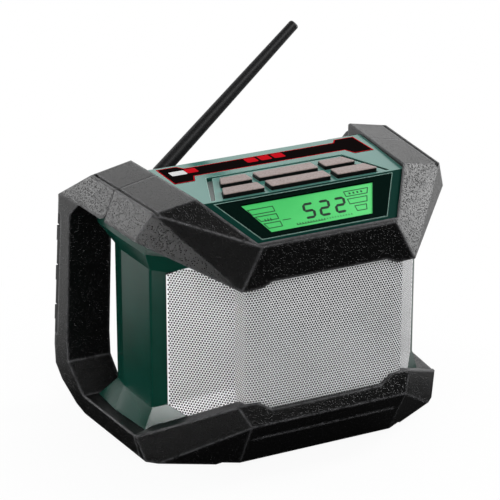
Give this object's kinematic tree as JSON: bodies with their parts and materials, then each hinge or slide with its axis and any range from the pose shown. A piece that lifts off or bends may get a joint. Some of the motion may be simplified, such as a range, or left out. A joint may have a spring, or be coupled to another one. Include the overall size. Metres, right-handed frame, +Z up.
{
  "type": "jobsite radio",
  "caption": "Armoured jobsite radio with a perforated speaker grille, sloping display, press keys, side grip bars, folding antenna and a sliding battery pack.",
  "frame": {"origin": "on the ground, under the middle of the radio between its bumper and its grip bars", "axes": "+Z up, +Y from the grille to the back, +X to the right of someone who faces the grille"},
  "size_m": [0.291, 0.202, 0.307],
  "materials": {
    "antenna": "black flexible sheath",
    "antenna_base": "black moulded plate",
    "antenna_pin": "blackened steel pin",
    "armour": "black moulded plastic, fine grain",
    "aux_socket": "black socket",
    "battery_latch": "green push button",
    "battery_pack": "black moulded case",
    "circuit_board": "circuit board",
    "control_panel": "green moulded plastic",
    "dc_inlet": "black socket",
    "display_module": "green backlit display",
    "display_window": "tinted clear plastic",
    "dock_terminals": "plated blades in a black block",
    "door_pin": "steel pin",
    "feet": "black rubber pads",
    "front_housing": "dark teal green moulded plastic",
    "grip_rubber": "black ribbed rubber",
    "housing_screws": "blackened steel screws",
    "indicator_strip": "black insert with coloured blocks",
    "key_mat": "silicone key mat",
    "keys": "mauve grey speckled plastic",
    "rear_housing": "black moulded plastic",
    "socket_door": "black moulded door",
    "speaker_cone": "dark cone",
    "speaker_frame": "black pressed steel",
    "speaker_grille": "perforated sheet steel, light silver lacquer",
    "speaker_magnet": "ferrite magnet with steel plate",
    "usb_socket": "plated shell"
  },
  "bodies": {
    "radio": {"antenna_base": "antenna_base", "antenna_pin": "antenna_pin", "aux_socket": "aux_socket", "control_board": "circuit_board", "control_panel": "control_panel", "dc_inlet": "dc_inlet", "display_module": "display_module", "display_window": "display_window", "dock_terminals": "dock_terminals", "door_pin": "door_pin", "feet": "feet", "front_housing": "front_housing", "housing_screws": "housing_screws", "indicator_strip": "indicator_strip", "key_mat": "key_mat", "left_grip": "grip_rubber", "left_side_frame": "armour", "left_speaker_cone": "speaker_cone", "left_speaker_frame": "speaker_frame", "left_speaker_magnet": "speaker_magnet", "lower_bumper": "armour", "main_board": "circuit_board", "rear_housing": "rear_housing", "right_grip": "grip_rubber", "right_side_frame": "armour", "right_speaker_cone": "speaker_cone", "right_speaker_frame": "speaker_frame", "right_speaker_magnet": "speaker_magnet", "socket_board": "circuit_board", "speaker_grille": "speaker_grille", "upper_cover": "armour", "usb_socket": "usb_socket"},
    "antenna_rod": {"antenna": "antenna"},
    "battery": {"battery_pack": "battery_pack"},
    "latch": {"battery_latch": "battery_latch"},
    "bay_door": {"socket_door": "socket_door"},
    "menu_key_body": {"menu_key": "keys"},
    "source_key_body": {"source_key": "keys"},
    "station_key_body": {"station_key": "keys"},
    "tone_key_body": {"tone_key": "keys"},
    "tuning_key_body": {"tuning_key": "keys"},
    "volume_key_body": {"volume_key": "keys"}
  },
  "joints": [
    {"name": "antenna_fold", "type": "hinge", "parent": "radio", "child": "antenna_rod", "pos_m": [-0.077, 0.0605, 0.19], "axis": [0, -1, 0], "range_deg": [-41.5, 48.5]},
    {"name": "battery_slide", "type": "slide", "parent": "radio", "child": "battery", "axis": [0, 0, 1], "range_m": [0, 0.058]},
    {"name": "latch_press", "type": "slide", "parent": "battery", "child": "latch", "axis": [0, -1, 0], "range_m": [0, 0.002], "stiffness_N_per_m": 1500, "springref_m": -0.001},
    {"name": "bay_door_hinge", "type": "hinge", "parent": "radio", "child": "bay_door", "pos_m": [0.074, 0.05485, 0.1115], "axis": [-1, 0, 0], "range_deg": [0, 100]},
    {"name": "menu_key_press", "type": "slide", "parent": "radio", "child": "menu_key_body", "axis": [0, 0, -1], "range_m": [0, 0.001], "stiffness_N_per_m": 1200, "springref_m": -0.0005},
    {"name": "source_key_press", "type": "slide", "parent": "radio", "child": "source_key_body", "axis": [0, 0, -1], "range_m": [0, 0.001], "stiffness_N_per_m": 1200, "springref_m": -0.0005},
    {"name": "station_key_press", "type": "slide", "parent": "radio", "child": "station_key_body", "axis": [0, 0, -1], "range_m": [0, 0.001], "stiffness_N_per_m": 1200, "springref_m": -0.0005},
    {"name": "tone_key_press", "type": "slide", "parent": "radio", "child": "tone_key_body", "axis": [0, 0, -1], "range_m": [0, 0.001], "stiffness_N_per_m": 1200, "springref_m": -0.0005},
    {"name": "tuning_key_press", "type": "slide", "parent": "radio", "child": "tuning_key_body", "axis": [0, 0, -1], "range_m": [0, 0.001], "stiffness_N_per_m": 1200, "springref_m": -0.0005},
    {"name": "volume_key_press", "type": "slide", "parent": "radio", "child": "volume_key_body", "axis": [0, 0, -1], "range_m": [0, 0.001], "stiffness_N_per_m": 1200, "springref_m": -0.0005}
  ]
}
